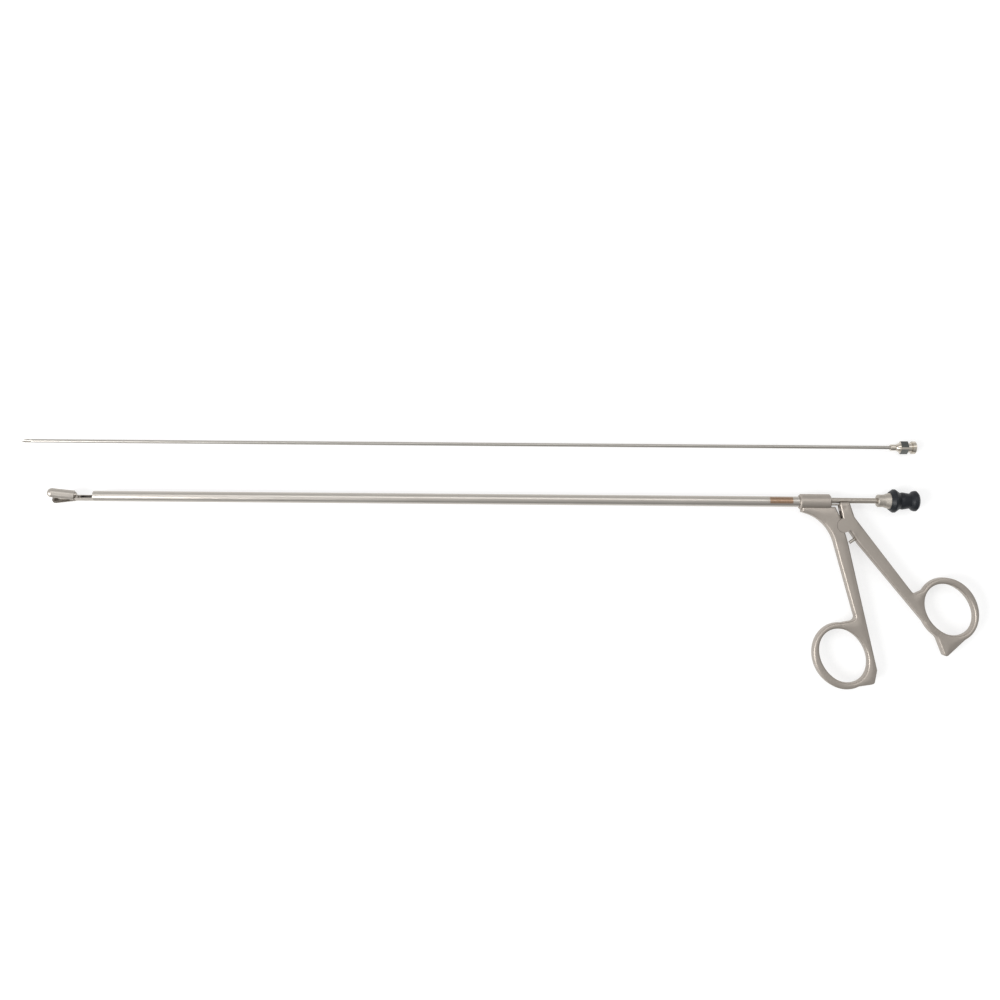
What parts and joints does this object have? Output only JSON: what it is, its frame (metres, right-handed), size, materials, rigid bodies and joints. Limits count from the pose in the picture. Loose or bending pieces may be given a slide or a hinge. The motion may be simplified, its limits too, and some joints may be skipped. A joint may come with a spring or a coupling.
{
  "type": "laparoscopic grasper",
  "caption": "Long slim surgical grasper with toothed jaws, scissor-grip finger rings and a side tube with a rubber-capped port, together with the hollow needle that it guides.",
  "frame": {"origin": "on the shaft's axis, at the front face of the barrel that holds the shaft in the handle", "axes": "+X along the shaft, back towards the handles; +Y in the plane of the finger rings, away from them and towards the loose needle; +Z square to that plane, up from the table that the set lies on"},
  "size_m": [0.4605, 0.1188, 0.0112],
  "materials": {
    "shaft_steel": "satin",
    "handle_steel": "satin, bead-blasted",
    "jaw_steel": "satin",
    "pin_steel": "ground",
    "rod_steel": "drawn",
    "port_metal": "polished",
    "cap_rubber": "matte",
    "seal_rubber": "matte",
    "needle_steel": "drawn and polished",
    "hub_plating": "polished nickel plating"
  },
  "bodies": {
    "shaft": {"shaft_tube": "shaft_steel", "barrel": "handle_steel", "rod_seal": "seal_rubber", "barrel_plug": "handle_steel", "guide_tube": "shaft_steel", "port_hub": "port_metal", "jaw_fork": "jaw_steel", "jaw_pin": "pin_steel", "front_handle": "handle_steel"},
    "cap": {"seal_cap": "cap_rubber"},
    "lever": {"rear_handle": "handle_steel", "pivot_pin": "pin_steel", "drive_pin": "pin_steel", "stop_pin": "pin_steel"},
    "rod": {"pull_rod": "rod_steel", "rod_eye": "rod_steel", "drive_head": "rod_steel", "link_pin": "pin_steel"},
    "link_above": {"upper_link": "jaw_steel"},
    "link_below": {"lower_link": "jaw_steel"},
    "jaw_above": {"upper_jaw": "jaw_steel", "upper_tail_pin": "pin_steel"},
    "jaw_below": {"lower_jaw": "jaw_steel", "lower_tail_pin": "pin_steel"},
    "needle": {"needle_tube": "needle_steel", "needle_ferrule": "hub_plating", "needle_hub": "hub_plating"}
  },
  "joints": [
    {"name": "handle_pivot", "type": "hinge", "parent": "shaft", "child": "lever", "pos_m": [0.021, -0.0111, 0], "axis": [0, 0, 1], "range_deg": [-5.95, 8.08]},
    {"name": "rod_slide", "type": "slide", "parent": "shaft", "child": "rod", "axis": [1, 0, 0], "range_m": [-0.00118, 0.00087]},
    {"name": "upper_jaw_pivot", "type": "hinge", "parent": "shaft", "child": "jaw_above", "pos_m": [-0.345, -0.00092, 0.00047], "axis": [0, 0.891, -0.454], "range_deg": [-14.01, 19.01]},
    {"name": "lower_jaw_pivot", "type": "hinge", "parent": "shaft", "child": "jaw_below", "pos_m": [-0.345, -0.00092, 0.00047], "axis": [0, -0.891, 0.454], "range_deg": [-14.01, 19.01]},
    {"name": "upper_link_pivot", "type": "hinge", "parent": "rod", "child": "link_above", "pos_m": [-0.34115, -0.00092, 0.00047], "axis": [0, -0.891, 0.454], "range_deg": [-14.01, 19.01]},
    {"name": "lower_link_pivot", "type": "hinge", "parent": "rod", "child": "link_below", "pos_m": [-0.34115, -0.00092, 0.00047], "axis": [0, 0.891, -0.454], "range_deg": [-14.01, 19.01]},
    {"name": "cap_pull", "type": "slide", "parent": "shaft", "child": "cap", "axis": [1, 0, 0], "range_m": [0, 0.012]},
    {"name": "needle_slide", "type": "slide", "parent": "shaft", "child": "needle", "axis": [1, 0, 0], "range_m": [-0.03, 0.03]}
  ],
  "couplings": [
    {"joint": "rod_slide", "follows": "handle_pivot", "m_per_rad": -0.0083},
    {"joint": "upper_jaw_pivot", "follows": "handle_pivot", "ratio": 2.3511},
    {"joint": "lower_jaw_pivot", "follows": "handle_pivot", "ratio": 2.3511},
    {"joint": "upper_link_pivot", "follows": "handle_pivot", "ratio": 2.3511},
    {"joint": "lower_link_pivot", "follows": "handle_pivot", "ratio": 2.3511}
  ]
}
